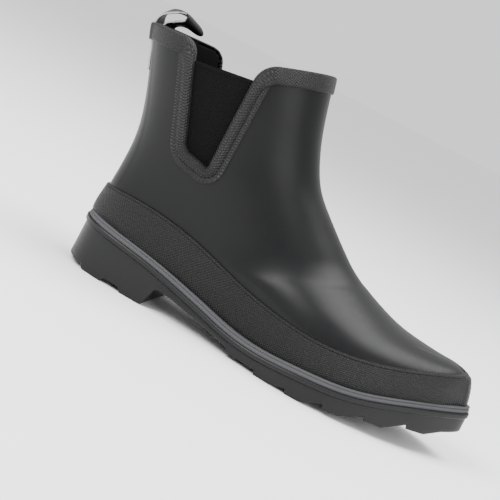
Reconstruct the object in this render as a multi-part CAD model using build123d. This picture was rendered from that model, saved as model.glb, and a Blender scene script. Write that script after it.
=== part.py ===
from build123d import *
import math
import os

# Rubber ankle rain boot, right foot. Millimetres, +X to the toe, +Y to the inner (medial) side, +Z up.
# The boot is drawn with x = 0 at the heel's back and z = 0 on the ground, and moved to the model's
# origin, the middle of its box on the ground, when it is written.

# ---- driving dimensions ---------------------------------------------------------------------------
RUBBER = 2.0             # wall of the rubber upper
STIFFENER = 0.8          # heel counter, toe puff and seam tape
LINING = 1.6             # textile lining and elastic gore
BOARD = 2.0              # insole board
SOCK_FLOOR = 1.2         # lining under the footbed
FOAM = 4.0               # footbed foam
COVER = 1.0              # footbed cloth
FOXING = 1.8             # foxing band, proud of the upper
BEAD_HEIGHT = 4.4        # welt bead
COLLAR_TRIM = 1.5        # collar trim, proud of the upper
GORE_TRIM = 2.2          # gore trim, proud of the upper
TRIM_WIDTH = 11.0        # width of every trim band
HEEL_BREAST = 66.0       # front of the heel
TREAD_DEPTH = 2.6        # depth of the tread fields
RIM_WIDTH = 11.0         # lugged rim round the tread fields
LASTING_MARGIN = 15.0    # rubber turned under the insole board
STRAP = 1.5              # thickness of the pull strap
STRAP_WIDTH = 24.0       # width of the pull strap
HINGE_X = -13.2          # line that the strap's loop bends about
HINGE_Z = 168.2
# Corners of the loop from the hinge line, x and z, with their radii: its foot turns round that line.
LOOP = [(-3.3, -3.3, 3.2), (-3.3, 7.8, 6), (22.6, 6.6, 3.7), (21.4, -1.6, 3.7), (3.3, -3.3, 2.5)]
SIDE = 80.0              # reach of cutting solids to each side
BELOW = -20.0            # bottom, back, front and top of cutting solids
BEHIND = -60.0
AHEAD = 320.0
ABOVE = 260.0
LASTING_GAP = LASTING_MARGIN + 4.0    # inset of the gap inside the turned margin, from the outline
SECTION_POINTS = 28      # points round each section of the upper
INSET_POINTS = 32        # points round an outline drawn in from the outsole's

# Plan outline of the outsole, walked round from the heel's back along the outer side.
OUTLINE = [(0, 0), (10, -23), (38, -33.5), (84, -36.5), (126, -42), (173, -52), (215, -47), (250, -30),
           (275, -7.5), (283, 7), (276, 19), (250, 35.5), (210, 48.5), (178, 48.5), (126, 32.5),
           (84, 31), (38, 32.5), (10, 22)]

# Half widths of the foot part of the upper: (x, outer side, inner side).
FOOT_WIDTHS = [(0, 32, 31), (50, 32, 30), (84, 33, 27), (105, 34.5, 26), (126, 38, 28.5), (150, 44, 36),
               (173, 48, 43), (193, 47.5, 46), (215, 43, 44.5), (231, 36.5, 39), (250, 25.5, 31.5),
               (265, 12.5, 23), (274, 2, 13), (284, -5.5, 6.5)]

# Half widths of the shaft: (z, half width).
SHAFT_WIDTHS = [(0, 35), (90, 35), (112, 36), (130, 38), (150, 40), (172, 41.2), (210, 42)]

# Sections of the upper from the collar down, round the heel and on to the toe:
# front point x, z; back or bottom point x, z; y of the front ridge; roundness at front and back.
STATIONS = [
    (102.5, 197, -19.5, 180, 0, 2.1, 2.2),
    (109.0, 172, -14.5, 161, 0, 2.1, 2.2),
    (115.0, 151, -10.0, 148, 0, 2.1, 2.2),
    (122.5, 132, -3.5, 130, 1, 2.0, 2.2),
    (132.0, 116, 2.5, 111, 2, 2.0, 2.2),
    (144.5, 104, 6.0, 92, 3, 2.0, 2.2),
    (156.0, 94.5, 6.0, 72, 3.5, 2.0, 2.25),
    (165.5, 87, 4.2, 52, 4, 2.0, 2.4),
    (173.0, 81.5, 4.2, 33, 4.5, 2.0, 2.8),
    (180.0, 77.3, 16.0, 24, 5, 2.0, 4.0),
    (187.0, 74, 50.0, 21.5, 5.5, 2.0, 5.0),
    (194.0, 71, 88.0, 15.5, 6, 2.0, 5.0),
    (201.0, 68.3, 120.0, 10, 6, 2.0, 5.0),
    (210.0, 65.2, 152.0, 8, 6, 2.0, 5.0),
    (222.0, 62.2, 187.0, 10, 6, 2.1, 5.0),
    (237.0, 60.4, 220.0, 15, 6.5, 2.2, 5.0),
    (252.0, 59.6, 246.0, 21, 6.5, 2.3, 4.5),
    (264.5, 58.6, 266.0, 28, 6.5, 2.4, 3.5),
    (270.5, 56.0, 277.0, 34, 6.5, 2.4, 2.6),
]
NOSE_STATIONS = 4        # last stations, which also move forward as the surface is offset

# Side view lines: top of the outsole, bottom of the outsole, top of the foxing.
SOLE_TOP = [(-30, 33), (2, 32), (32, 29.5), (64, 25.5), (84, 21.5), (105, 17), (126, 13), (152, 12.3),
            (175, 14.3), (194, 15.8), (215, 18.5), (232, 22.5), (254, 28.5), (281, 34.5), (310, 41)]
HEEL_BOTTOM = [(-30, 3), (7, 3), (8, 2.5), (17, 2.5), (19, 0), (35, 0), (37, 2.8), (48, 2.8), (50, 0),
               (HEEL_BREAST, 0)]
FOREFOOT_STEPS = [(130, 2.2), (153, 0), (176, 0), (201, 3.0), (227, 7.6), (252, 13.2)]
STEP_HEIGHT = 2.7        # rise of each tread step ahead of its lug
LUG_LENGTH = 11.0
FOXING_TOP = [(-30, 52), (2.5, 55), (17, 57), (52, 58), (85, 53), (119, 44.5), (152, 40), (181, 39),
              (207, 41.5), (231, 46.5), (254, 53), (268, 57), (300, 66)]

# Opening of the collar and gore in the side view: corners with their radii.
OPENING = [((-40, 161.5), 1), ((23.4, 165.3), 11), ((46.8, 102), 9), ((66, 98.3), 1.5),
           ((68.3, 171.5), 16), ((130, 193.5), 1), ((130, 235), 1), ((-40, 235), 1)]
GORE_TOP = ((15, 152.6), (85, 162.4))     # straight top edge of the elastic
GORE_OVERLAP = 7.0                         # elastic tucked behind the rubber
HEM = 3.0                                  # stitched hem at the top of the elastic


# Side-view areas: the gore trim, and the stiffeners between rubber and lining.
GORE_ZONE = [(27.6, 153.6), (15.5, 149.4), (10, 80), (90, 80), (80.4, 158), (68.1, 162), (48, 170)]
GORE_FOOT = 80.0                           # below the lowest point of the elastic
COUNTER_AREA = [(-30, 0), (70, 0), (50, 50), (20, 74), (-30, 78)]
PUFF_AREA = [(236, 0), (310, 0), (310, 90), (222, 90)]
TAPE_HALF_WIDTH = 13.0                     # tape on the back seam, and its lowest and highest points
TAPE_LOW = 70.0
TAPE_HIGH = 157.0
BACK_REACH = 15.0                          # how far forward the strap's and tape's cuts reach
TRIM_SPLIT = 46.0                          # rear collar trim behind this, front collar trim ahead
BRIDGE_MARGIN = 2.0                        # trim bridging the strap, wider than it on each side
OUTER_LEG_LOW = 134.0                      # lower ends of the strap's legs
INNER_LEG_LOW = 146.0

# Outsole details.
WAIST = [(72, 14.5), (83, 13.2), (105, 9.6), (122, 6.2)]
TOE_EDGE = [(272, 18.4), (282, 21.5), (310, 26)]
STEP_RUN = 0.7                             # length of each step's slope
LUG_RISE = 0.35                            # rise along each lug
CHEVRON_TIP = 9.0
CHEVRON_WIDTH = 6.0
CHEVRON_ARMS = (10, 15, 10)                # half spans of the three lugs in a field
# Tread fields: back x, front x, way the lugs point, places of the lugs, their shift to the inner side.
FIELDS = [(8, 58, -1, (26, 38, 50), 0.0), (140, 262, 1, (168, 190, 212), 5.0)]
CORE_FRONT = 62.0                          # front and bottom of the heel core
CORE_BOTTOM = 9.0
SHANK_BACK = 68.0                          # ends, half width and lower and upper faces of the shank
SHANK_FRONT = 136.0
SHANK_HALF_WIDTH = 8.0
SHANK_LOW = 0.4
SHANK_HIGH = 1.6
BEAD_INSET = 1.2                           # welt bead, in from the outsole's edge
PLAN_TOP = 60.0                            # top of prisms drawn from the plan outline
PLAN_LOW = -5.0


# ---- helpers --------------------------------------------------------------------------------------
def at(table, x, column=1):
    """The table's column at x, on straight lines between its rows."""
    for low, high in zip(table, table[1:]):
        if x <= high[0]:
            share = max(0.0, (x - low[0]) / (high[0] - low[0]))
            return low[column] + share * (high[column] - low[column])
    return table[-1][column]


def half_width(x, z, column):
    """Half width of the upper: the foot's near the sole, the shaft's above the ankle."""
    share = min(1.0, max(0.0, (z - 50) / 55))
    share = share * share * (3 - 2 * share)
    return at(FOOT_WIDTHS, x, column) * (1 - share) + at(SHAFT_WIDTHS, z) * share


def section_point(index, grow, angle):
    """A point of a section at an angle from its front (0) round the inner side to its back (pi)."""
    fx, fz, bx, bz, ridge, front_n, back_n = STATIONS[index]
    length = math.hypot(fx - bx, fz - bz)
    ux, uz = (fx - bx) / length, (fz - bz) / length
    along, across = math.cos(angle), math.sin(angle)
    n = front_n if along > 0 else back_n
    reach = (abs(along) ** n + abs(across) ** n) ** (-1 / n)
    slide = (length / 2 + grow) * reach * along
    x = (fx + bx) / 2 + slide * ux
    z = (fz + bz) / 2 + slide * uz
    last_turned = len(STATIONS) - NOSE_STATIONS
    centre = ridge if index > last_turned else ridge * (1 + reach * along) / 2
    if across < 0:
        edge = -half_width(x, z, 1) - grow
    else:
        edge = half_width(x, z, 2) + grow
    y = centre + (edge - centre) * abs(reach * across)
    nose = max(0.0, (index + 1 - last_turned) / NOSE_STATIONS)
    return (x + nose * grow * uz, y, z)


def section(index, grow):
    """One closed section of the upper, its surface moved outwards by grow."""
    steps = SECTION_POINTS // 2
    params = [k / steps for k in range(steps + 1)]
    halves = []
    for side in (1, -1):
        points = [section_point(index, grow, side * math.pi * share) for share in params]
        speeds = []
        for end, turn in ((points[0], 1), (points[-1], -1)):
            wide = half_width(end[0], end[2], 2 if side > 0 else 1) + grow - side * end[1]
            speeds.append((0, side * turn * math.pi * wide, 0))
        halves.append(Edge.make_spline(points, speeds, parameters=params, scale=False))
    return Wire(halves)


def side_prism(face):
    """A face drawn in the XZ plane, reaching to both sides."""
    return extrude(face, amount=SIDE, both=True)


def polygon(points):
    """A closed straight-sided prism from side-view points (x, z)."""
    return side_prism(Plane.XZ * make_face(Polyline(*points, close=True)))


def above(line, rise):
    """Everything above a side-view line raised by rise."""
    points = [(x, z + rise) for x, z in line]
    return polygon(points + [(line[-1][0], ABOVE), (line[0][0], ABOVE)])


def plan_prism(inset, low, high):
    """The outsole's plan outline, drawn in by inset, between two heights."""
    edge = Spline(*OUTLINE, periodic=True).edge()
    if inset:
        points = []
        for k in range(INSET_POINTS):
            place, along = edge @ (k / INSET_POINTS), edge % (k / INSET_POINTS)
            points.append((place.X - inset * along.Y, place.Y + inset * along.X))
        edge = Spline(*points, periodic=True).edge()
    return Pos(0, 0, low) * extrude(make_face(edge), amount=high - low)


def block(x0, x1, y0, y1, z0, z1):
    """A plain box between two corners."""
    return Pos((x0 + x1) / 2, (y0 + y1) / 2, (z0 + z1) / 2) * Box(x1 - x0, y1 - y0, z1 - z0)


BODIES = {}


def body(grow):
    """The solid inside the upper's surface moved by grow, standing on the outsole's top."""
    if grow not in BODIES:
        wires = [section(index, grow) for index in range(len(STATIONS))]
        BODIES[grow] = Solid.make_loft(wires) & above(SOLE_TOP, max(0.0, -grow))
    return BODIES[grow]


def opening_face(margin=0.0):
    """The collar and gore opening in the side view, widened by margin."""
    corners = [corner for corner, _ in OPENING]
    radii = [radius for _, radius in OPENING]
    face = make_face(FilletPolyline(*corners, radius=radii, close=True))
    if margin:
        face = offset(face, margin)
    return Plane.XZ * face


# ---- upper ----------------------------------------------------------------------------------------
def skin(outer, inner, area):
    """The part of the skin between two offsets of the upper's surface that lies in an area."""
    return (body(outer) & area) - body(inner)


def lasting_gap():
    """The gap inside the lasting margin, up to the top of the rubber's bottom."""
    return plan_prism(LASTING_GAP, 0, PLAN_TOP) - above(SOLE_TOP, RUBBER)


def gore_area(margin, drop):
    """The elastic's side-view area: the opening widened by margin, under its top edge less drop."""
    (x0, z0), (x1, z1) = GORE_TOP
    under = polygon([(x0, z0 - drop), (x0, GORE_FOOT), (x1, GORE_FOOT), (x1, z1 - drop)])
    return side_prism(opening_face(margin)) & under


def half(shape, side):
    """The part of a shape on one side of the boot: -1 outer, 1 inner."""
    low, high = (-SIDE, 0) if side < 0 else (0, SIDE)
    return shape & block(BEHIND, AHEAD, low, high, BELOW, ABOVE)


def trim_band():
    """The side-view band along the opening's edge."""
    return side_prism(opening_face(TRIM_WIDTH)) - side_prism(opening_face())


def strap_slab(half_wide, low):
    """The stretch of the boot's back that the pull strap covers."""
    slab = block(BEHIND, BACK_REACH, -half_wide, half_wide, low, ABOVE)
    return slab - side_prism(opening_face())


def make_upper():
    """The rubber shell, with its margin turned under the insole board."""
    return body(0) - side_prism(opening_face()) - body(-RUBBER) - lasting_gap()


def stiffener_areas():
    """Where the heel counter, toe puff and seam tape lie."""
    inside = above(SOLE_TOP, RUBBER + BOARD)
    counter = polygon(COUNTER_AREA)
    puff = polygon(PUFF_AREA)
    tape = block(BEHIND, 2 * BACK_REACH, -TAPE_HALF_WIDTH, TAPE_HALF_WIDTH, TAPE_LOW, TAPE_HIGH)
    return {"heel_counter": counter & inside, "toe_puff": puff & inside, "back_seam_tape": tape - counter}


def make_stiffeners():
    """Heel counter, toe puff and seam tape between the rubber and the lining."""
    return {name: skin(-RUBBER, -RUBBER - STIFFENER, area) for name, area in stiffener_areas().items()}


def make_gores():
    """Elastic panels with their stitched top hems."""
    panel = skin(-RUBBER, -RUBBER - LINING, gore_area(GORE_OVERLAP, HEM))
    hem_area = gore_area(GORE_OVERLAP, 0) - gore_area(GORE_OVERLAP + 1, HEM)
    hem = skin(-RUBBER, -RUBBER - LINING, hem_area)
    parts = {}
    for side, name in ((-1, "lateral"), (1, "medial")):
        parts[f"gore_{name}"] = half(panel, side)
        parts[f"gore_hem_{name}"] = half(hem, side)
    return parts


def make_lining():
    """Backing cloth that ends at the stiffeners, and the sock inside it with its floor."""
    middle = -RUBBER - STIFFENER
    open_area = side_prism(opening_face()) + gore_area(GORE_OVERLAP, 0)
    ply_area = above(SOLE_TOP, RUBBER + BOARD) - open_area
    outer_area = ply_area
    for area in stiffener_areas().values():
        outer_area = outer_area - area
    backing = skin(-RUBBER, middle, outer_area)
    hollow = body(-RUBBER - LINING) & above(SOLE_TOP, RUBBER + BOARD + SOCK_FLOOR)
    sock = (body(middle) & ply_area) - hollow
    return {"lining_backing": backing, "lining_sock": sock}


def make_trims():
    """Trim bands along the collar's edges and round the gores."""
    band = trim_band()
    zone = polygon(GORE_ZONE)
    collar = band - zone
    split = block(BEHIND, TRIM_SPLIT, -SIDE, SIDE, 0, ABOVE)
    strap = STRAP_WIDTH / 2
    bridge_side = strap + BRIDGE_MARGIN
    under_strap = block(BEHIND, BACK_REACH, -strap, strap, 0, ABOVE)
    over_strap = block(BEHIND, BACK_REACH, -bridge_side, bridge_side, 0, ABOVE)
    rear = skin(COLLAR_TRIM, 0, (collar & split) - under_strap)
    bridge = skin(COLLAR_TRIM + STRAP, COLLAR_TRIM, band & over_strap)
    gore = skin(GORE_TRIM, 0, band & zone)
    return {
        "collar_trim_rear": rear + bridge,
        "collar_trim_front": skin(COLLAR_TRIM, 0, collar - split),
        "gore_trim_lateral": half(gore, -1),
        "gore_trim_medial": half(gore, 1),
    }


# ---- pull strap -----------------------------------------------------------------------------------
def make_strap():
    """The pull strap: two sewn legs and the loop above the collar."""
    wide = STRAP_WIDTH / 2
    inside = -RUBBER - LINING
    outer_leg = skin(STRAP, 0, strap_slab(wide, OUTER_LEG_LOW))
    inner_leg = skin(inside, inside - STRAP, strap_slab(wide, INNER_LEG_LOW))
    corners = [(HINGE_X + x, HINGE_Z + z) for x, z, _ in LOOP]
    radii = [radius for _, _, radius in LOOP]
    ring = make_face(FilletPolyline(*corners, radius=radii, close=True))
    loop = extrude(Plane.XZ * (ring - offset(ring, -STRAP)), amount=wide, both=True)
    return {"pull_tab_outer_leg": outer_leg, "pull_tab_inner_leg": inner_leg, "pull_tab_loop": loop}


# ---- bottom ---------------------------------------------------------------------------------------
def sole_profile():
    """Side view of the outsole, with the heel, waist and stepped forefoot."""
    points = HEEL_BOTTOM + WAIST
    for x, z in FOREFOOT_STEPS:
        points.append((x - STEP_RUN, z + STEP_HEIGHT))
        points.append((x, z))
        points.append((x + LUG_LENGTH, z + LUG_RISE))
    points += TOE_EDGE
    return polygon(points + [(TOE_EDGE[-1][0], PLAN_TOP), (HEEL_BOTTOM[0][0], PLAN_TOP)])


def chevron(x, arm, direction, low, high):
    """A chevron lug pointing along direction (1 to the toe), as a prism."""
    tip, thick = CHEVRON_TIP * direction, CHEVRON_WIDTH * direction
    points = [(x + tip, 0), (x, arm), (x - thick, arm), (x + tip - thick, 0), (x - thick, -arm), (x, -arm)]
    return Pos(0, 0, low) * extrude(make_face(Polyline(*points, close=True)), amount=high - low)


def make_tread(sole):
    """Sunk fields inside the rim of heel and forefoot, with three chevron lugs left in each."""
    inside = plan_prism(RIM_WIDTH, PLAN_LOW, PLAN_TOP)
    raised = sole.moved(Location((0, 0, TREAD_DEPTH)))
    for x0, x1, direction, places, shift in FIELDS:
        pocket = (inside & block(x0, x1, -SIDE, SIDE, PLAN_LOW, PLAN_TOP)) - raised
        for x, arm in zip(places, CHEVRON_ARMS):
            lug = chevron(x, arm, direction, PLAN_LOW, PLAN_TOP)
            pocket = pocket - lug.moved(Location((0, shift, 0)))
        sole = sole - pocket
    return sole


def make_bottom():
    """Outsole, heel core, shank, filler, insole board and footbed."""
    plan = plan_prism(0, PLAN_LOW, PLAN_TOP)
    solid = (plan & sole_profile()) - above(SOLE_TOP, 0)
    core_box = block(BEHIND, CORE_FRONT, -SIDE, SIDE, 0, PLAN_TOP)
    core_space = plan_prism(LASTING_GAP, CORE_BOTTOM, PLAN_TOP) & core_box
    core = core_space - above(SOLE_TOP, RUBBER)
    shank = block(SHANK_BACK, SHANK_FRONT, -SHANK_HALF_WIDTH, SHANK_HALF_WIDTH, 0, PLAN_TOP)
    shank = shank & (above(SOLE_TOP, SHANK_LOW) - above(SOLE_TOP, SHANK_HIGH))
    gap = lasting_gap() & above(SOLE_TOP, 0)
    inner = body(-RUBBER)
    lining = body(-RUBBER - LINING)
    floor = RUBBER + BOARD + SOCK_FLOOR
    return {
        "outsole": make_tread(solid) - core_space,
        "heel_core": core,
        "shank": shank,
        "bottom_filler": gap - core_space - shank,
        "insole_board": inner - above(SOLE_TOP, RUBBER + BOARD),
        "footbed_foam": (lining & above(SOLE_TOP, floor)) - above(SOLE_TOP, floor + FOAM),
        "footbed_cover": (lining & above(SOLE_TOP, floor + FOAM)) - above(SOLE_TOP, floor + FOAM + COVER),
    }


def make_rand():
    """Welt bead and foxing band round the joint of upper and outsole."""
    bead = plan_prism(BEAD_INSET, 0, PLAN_TOP) & above(SOLE_TOP, 0)
    foxing = body(FOXING) & above(SOLE_TOP, BEAD_HEIGHT)
    return {
        "welt_bead": bead - above(SOLE_TOP, BEAD_HEIGHT) - body(0),
        "foxing_band": foxing - above(FOXING_TOP, 0) - body(0),
    }


def main():
    """Build every piece, move it to the model's origin and write it."""
    parts = {"upper_shell": make_upper()}
    parts.update(make_stiffeners())
    parts.update(make_lining())
    parts.update(make_gores())
    parts.update(make_trims())
    parts.update(make_strap())
    parts.update(make_bottom())
    parts.update(make_rand())
    boxes = [shape.bounding_box() for shape in parts.values()]
    middle_x = (min(box.min.X for box in boxes) + max(box.max.X for box in boxes)) / 2
    middle_y = (min(box.min.Y for box in boxes) + max(box.max.Y for box in boxes)) / 2
    print("origin at", round(middle_x, 3), round(middle_y, 3), "from the heel's back")
    os.makedirs("parts", exist_ok=True)
    for name, shape in parts.items():
        export_step(shape.moved(Location((-middle_x, -middle_y, 0))), f"parts/{name}.step")


main()
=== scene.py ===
"""Rubber ankle rain boot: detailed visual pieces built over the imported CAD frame.

Lengths in the size tables are millimetres from the heel's back (x), the middle line (y, to the inner
side) and the ground (z). Placing turns them into metres in the shared frame.
"""

import logging
import math
from dataclasses import dataclass
from enum import Enum

import bmesh
import bpy
import numpy as np
from mathutils import Matrix, Vector
from mathutils.bvhtree import BVHTree

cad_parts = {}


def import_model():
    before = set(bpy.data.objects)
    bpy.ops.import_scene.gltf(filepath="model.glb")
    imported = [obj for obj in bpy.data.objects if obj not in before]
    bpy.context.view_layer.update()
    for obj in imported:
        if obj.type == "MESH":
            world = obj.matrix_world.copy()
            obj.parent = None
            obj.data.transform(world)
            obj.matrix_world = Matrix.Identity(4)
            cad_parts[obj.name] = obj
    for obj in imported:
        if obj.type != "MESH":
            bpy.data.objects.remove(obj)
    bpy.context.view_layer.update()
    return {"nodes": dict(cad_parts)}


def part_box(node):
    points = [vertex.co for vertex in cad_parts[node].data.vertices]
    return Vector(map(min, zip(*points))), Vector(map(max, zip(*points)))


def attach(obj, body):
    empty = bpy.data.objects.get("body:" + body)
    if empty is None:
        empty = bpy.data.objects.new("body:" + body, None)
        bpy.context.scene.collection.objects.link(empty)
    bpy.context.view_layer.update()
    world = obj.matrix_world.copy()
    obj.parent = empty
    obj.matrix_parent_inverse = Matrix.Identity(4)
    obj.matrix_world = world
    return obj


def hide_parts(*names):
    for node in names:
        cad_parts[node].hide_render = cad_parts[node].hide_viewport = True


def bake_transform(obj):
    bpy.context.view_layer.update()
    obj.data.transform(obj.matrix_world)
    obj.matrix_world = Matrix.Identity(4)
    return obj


LOG = logging.getLogger("rain_boot")


SHAFT_AXIS_X = 45.0          # x of the upright line inside the shaft that rays leave from
RAY_REACH = 90.0             # where sideways rays start, outside the boot
BRIM = 200.0                 # x and z beyond the collar, closing the opening in the side view
SKY = 260.0
BACK_LINE_X = -40.0
HINGE_X = -13.2              # line that the strap's loop bends about


# ---- numeric helpers ------------------------------------------------------------------------------
class Curve:
    """A natural cubic curve through knots, held at its end values beyond them."""

    def __init__(self, knots: np.ndarray, values: np.ndarray) -> None:
        """Args:
            knots: rising positions.
            values: one value or row of values per knot.
        """
        self.knots = np.asarray(knots, float)
        self.values = np.asarray(values, float)
        count = len(self.knots)
        steps = np.diff(self.knots)
        system = np.eye(count)
        shape = (count,) + (1,) * (self.values.ndim - 1)
        right = np.zeros(self.values.shape)
        slopes = np.diff(self.values, axis=0) / steps.reshape((-1,) + shape[1:])
        for row in range(1, count - 1):
            system[row, row - 1:row + 2] = steps[row - 1], 2 * (steps[row - 1] + steps[row]), steps[row]
            right[row] = 6 * (slopes[row] - slopes[row - 1])
        self.bends = np.linalg.solve(system, right)

    def __call__(self, position: np.ndarray) -> np.ndarray:
        """Args:
            position: where to read the curve.

        Returns:
            The values there.
        """
        place = np.clip(np.asarray(position, float), self.knots[0], self.knots[-1])
        low = np.clip(np.searchsorted(self.knots, place) - 1, 0, len(self.knots) - 2)
        step = self.knots[low + 1] - self.knots[low]
        b = (place - self.knots[low]) / step
        a = 1 - b
        if self.values.ndim > 1:
            a, b, step = a[..., None], b[..., None], step[..., None]
        bend = ((a ** 3 - a) * self.bends[low] + (b ** 3 - b) * self.bends[low + 1]) * step ** 2 / 6
        return a * self.values[low] + b * self.values[low + 1] + bend


def table_curve(table: tuple, column: int = 1) -> Curve:
    """Args:
        table: rows of numbers, the first rising.
        column: the column to read.

    Returns:
        The curve through that column.
    """
    rows = np.array(table, float)
    return Curve(rows[:, 0], rows[:, column])


def closed_loop(points: tuple, count: int) -> np.ndarray:
    """Args:
        points: corners of a smooth closed line.
        count: how many points to return.

    Returns:
        Points spread evenly along the line.
    """
    rows = np.array(points * 3, float)
    run = np.concatenate([[0], np.cumsum(np.linalg.norm(np.diff(rows, axis=0), axis=1))])
    curve = Curve(run, rows)
    start, end = run[len(points)], run[2 * len(points)]
    dense = curve(np.linspace(start, end, count * 4))
    along = np.concatenate([[0], np.cumsum(np.linalg.norm(np.diff(dense, axis=0), axis=1))])
    wanted = np.linspace(0, along[-1], count, endpoint=False)
    return np.stack([np.interp(wanted, along, dense[:, axis]) for axis in range(dense.shape[1])], axis=1)


def even_line(points: np.ndarray, step: float) -> np.ndarray:
    """Args:
        points: an open line.
        step: wanted spacing.

    Returns:
        The line at even spacing.
    """
    run = np.concatenate([[0], np.cumsum(np.linalg.norm(np.diff(points, axis=0), axis=1))])
    wanted = np.linspace(0, run[-1], max(2, int(run[-1] / step)))
    return np.stack([np.interp(wanted, run, points[:, axis]) for axis in range(points.shape[1])], axis=1)


def smooth_ring(rows: np.ndarray, passes: int) -> np.ndarray:
    """Args:
        rows: values round a closed ring.
        passes: how many times to average neighbours.

    Returns:
        The smoothed values.
    """
    for _ in range(passes):
        rows = (np.roll(rows, 1, axis=0) + 2 * rows + np.roll(rows, -1, axis=0)) / 4
    return rows


def ease(value: np.ndarray, low: float, high: float) -> np.ndarray:
    """Args:
        value: input.
        low: where the result is 0.
        high: where the result is 1.

    Returns:
        A smooth step between them.
    """
    share = np.clip((np.asarray(value, float) - low) / (high - low), 0, 1)
    return share * share * (3 - 2 * share)


def unit(rows: np.ndarray) -> np.ndarray:
    """Args:
        rows: vectors.

    Returns:
        The same vectors with length 1.
    """
    return rows / np.maximum(np.linalg.norm(rows, axis=-1, keepdims=True), 1e-9)


# ---- sizes ----------------------------------------------------------------------------------------
@dataclass(frozen=True)
class BootSizes:
    """Sizes shared by the boot's sub-assemblies."""

    rubber: float = 2.0
    lining: float = 1.6
    floor: float = 10.2          # top of the footbed above the outsole
    foxing: float = 1.8
    bead: float = 4.4
    outline: tuple = ((0, 0), (10, -23), (38, -33.5), (84, -36.5), (126, -42), (173, -52), (215, -47),
                      (250, -30), (275, -7.5), (283, 7), (276, 19), (250, 35.5), (210, 48.5),
                      (178, 48.5), (126, 32.5), (84, 31), (38, 32.5), (10, 22))
    foot: tuple = ((0, 32, 31), (50, 32, 30), (84, 33, 27), (105, 34.5, 26), (126, 38, 28.5),
                   (150, 44, 36), (173, 48, 43), (193, 47.5, 46), (215, 43, 44.5), (231, 36.5, 39),
                   (250, 25.5, 31.5), (265, 12.5, 23), (274, 2, 13), (284, -5.5, 6.5))
    shaft: tuple = ((0, 35), (90, 35), (112, 36), (130, 38), (150, 40), (172, 41.2), (210, 42))
    stations: tuple = (
        (102.5, 197, -19.5, 180, 0, 2.1, 2.2), (109, 172, -14.5, 161, 0, 2.1, 2.2),
        (115, 151, -10, 148, 0, 2.1, 2.2), (122.5, 132, -3.5, 130, 1, 2, 2.2),
        (132, 116, 2.5, 111, 2, 2, 2.2), (144.5, 104, 6, 92, 3, 2, 2.2),
        (156, 94.5, 6, 72, 3.5, 2, 2.25), (165.5, 87, 4.2, 52, 4, 2, 2.4),
        (173, 81.5, 4.2, 33, 4.5, 2, 2.8), (180, 77.3, 16, 24, 5, 2, 4), (187, 74, 50, 21.5, 5.5, 2, 5),
        (194, 71, 88, 15.5, 6, 2, 5), (201, 68.3, 120, 10, 6, 2, 5), (210, 65.2, 152, 8, 6, 2, 5),
        (222, 62.2, 187, 10, 6, 2.1, 5), (237, 60.4, 220, 15, 6.5, 2.2, 5),
        (252, 59.6, 246, 21, 6.5, 2.3, 4.5), (264.5, 58.6, 266, 28, 6.5, 2.4, 3.5),
        (270.5, 56, 277, 34, 6.5, 2.4, 2.6))
    nose_stations: int = 4
    sole_top: tuple = ((-30, 33), (2, 32), (32, 29.5), (64, 25.5), (84, 21.5), (105, 17), (126, 13),
                       (152, 12.3), (175, 14.3), (194, 15.8), (215, 18.5), (232, 22.5), (254, 28.5),
                       (281, 34.5), (310, 41))
    foxing_top: tuple = ((-30, 52), (2.5, 55), (17, 57), (52, 58), (85, 53), (119, 44.5), (152, 40),
                         (181, 39), (207, 41.5), (231, 46.5), (254, 53), (268, 57), (300, 66))
    opening: tuple = (((-40, 161.5), 1), ((23.4, 165.3), 11), ((46.8, 102), 9), ((66, 98.3), 1.5),
                      ((68.3, 171.5), 16), ((130, 193.5), 1))
    gore_top: tuple = ((15, 152.6), (85, 162.4))


class Placing:
    """Turns boot millimetres into metres in the shared frame."""

    def __init__(self) -> None:
        """Reads where the frame has the heel's back and the middle line."""
        low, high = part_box("shank")
        self.origin = np.array([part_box("outsole")[0].x, (low.y + high.y) / 2, 0.0])

    def points(self, rows: np.ndarray) -> np.ndarray:
        """Args:
            rows: points in boot millimetres.

        Returns:
            The points in metres in the frame.
        """
        return np.asarray(rows, float) / 1000 + self.origin


# ---- finishes -------------------------------------------------------------------------------------
class Texture(Enum):
    """Relief worked into a surface."""

    SMOOTH = "smooth"
    KNURL = "knurl"
    WEAVE = "weave"
    RIBS = "ribs"


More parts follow.
